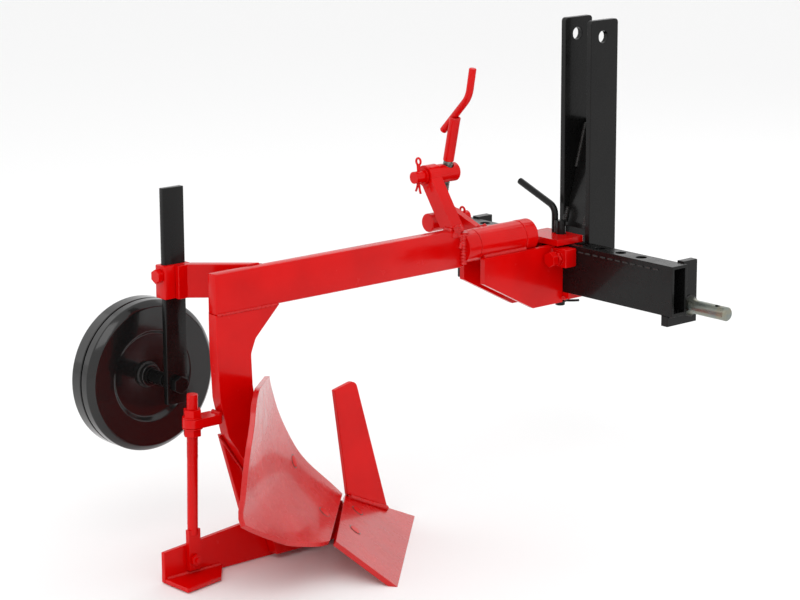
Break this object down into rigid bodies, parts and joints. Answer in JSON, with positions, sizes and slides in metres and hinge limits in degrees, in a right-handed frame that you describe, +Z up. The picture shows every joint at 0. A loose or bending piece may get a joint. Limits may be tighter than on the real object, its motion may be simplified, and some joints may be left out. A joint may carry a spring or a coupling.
{
  "type": "mouldboard plough",
  "caption": "Mounted mouldboard plough for a small tractor's linkage, with offset headstock, tilt screw, knife on the share, braced landside and gauge wheel.",
  "frame": {"origin": "middle of the footprint, on the ground", "axes": "+X to the tractor's right, +Y forwards in the way of travel, +Z up"},
  "size_m": [0.643, 0.8974, 0.765],
  "materials": {
    "red_paint": "gloss",
    "black_paint": "gloss",
    "wheel_enamel": "satin",
    "zinc_plate": "satin"
  },
  "bodies": {
    "headstock": {"toolbar": "black_paint", "end_plate_left": "black_paint", "end_plate_right": "black_paint", "lower_pin_left": "zinc_plate", "lower_pin_right": "zinc_plate", "mast_plate_left": "black_paint", "mast_plate_right": "black_paint", "mast_brace": "black_paint", "bracket_cheek_left": "red_paint", "bracket_cheek_right": "red_paint", "bracket_top_plate": "red_paint", "bracket_bottom_plate": "red_paint", "pivot_sleeve": "red_paint", "screw_lug": "red_paint", "clamp_block": "red_paint", "clamp_bolt": "red_paint", "locking_pin": "black_paint", "locking_pin_handle": "black_paint", "locking_clip": "black_paint"},
    "plough_beam": {"main_beam": "red_paint", "pivot_shaft": "red_paint", "shaft_retainer": "red_paint", "tilt_arm": "red_paint", "leg": "red_paint", "frog_plate": "red_paint", "mouldboard": "red_paint", "share": "red_paint", "share_knife": "red_paint", "landside": "red_paint", "heel_plate": "red_paint", "brace_eye": "red_paint", "brace_rod": "red_paint", "brace_nut_upper": "red_paint", "brace_nut_lower": "red_paint", "wheel_strap": "red_paint", "wheel_sleeve": "red_paint", "sleeve_bolt": "red_paint"},
    "screw": {"lower_trunnion": "red_paint", "tilt_screw": "red_paint", "crank_handle": "red_paint"},
    "arm_trunnion": {"upper_trunnion": "red_paint"},
    "wheel_carrier": {"wheel_stem": "black_paint", "wheel_axle": "black_paint"},
    "wheel": {"gauge_wheel": "wheel_enamel"}
  },
  "joints": [
    {"name": "tilt", "type": "hinge", "parent": "headstock", "child": "plough_beam", "pos_m": [-0.019, 0.15435, 0.4255], "axis": [0, 1, 0], "range_deg": [-15, 3]},
    {"name": "screw_swing", "type": "hinge", "parent": "headstock", "child": "screw", "pos_m": [-0.0955, 0.15635, 0.4525], "axis": [0, 1, 0], "range_deg": [-19.05, 3.81]},
    {"name": "arm_trunnion_swing", "type": "hinge", "parent": "plough_beam", "child": "arm_trunnion", "pos_m": [-0.0772, 0.15635, 0.5335], "axis": [0, 1, 0], "range_deg": [-4.05, 0.81]},
    {"name": "wheel_height", "type": "slide", "parent": "plough_beam", "child": "wheel_carrier", "axis": [0, 0, 1], "range_m": [-0.1, 0.095]},
    {"name": "wheel_spin", "type": "hinge", "parent": "wheel_carrier", "child": "wheel", "pos_m": [-0.193, -0.33265, 0.2745], "axis": [1, 0, 0], "continuous": true}
  ],
  "couplings": [
    {"joint": "screw_swing", "follows": "tilt", "ratio": 1.27},
    {"joint": "arm_trunnion_swing", "follows": "tilt", "ratio": 0.27}
  ]
}
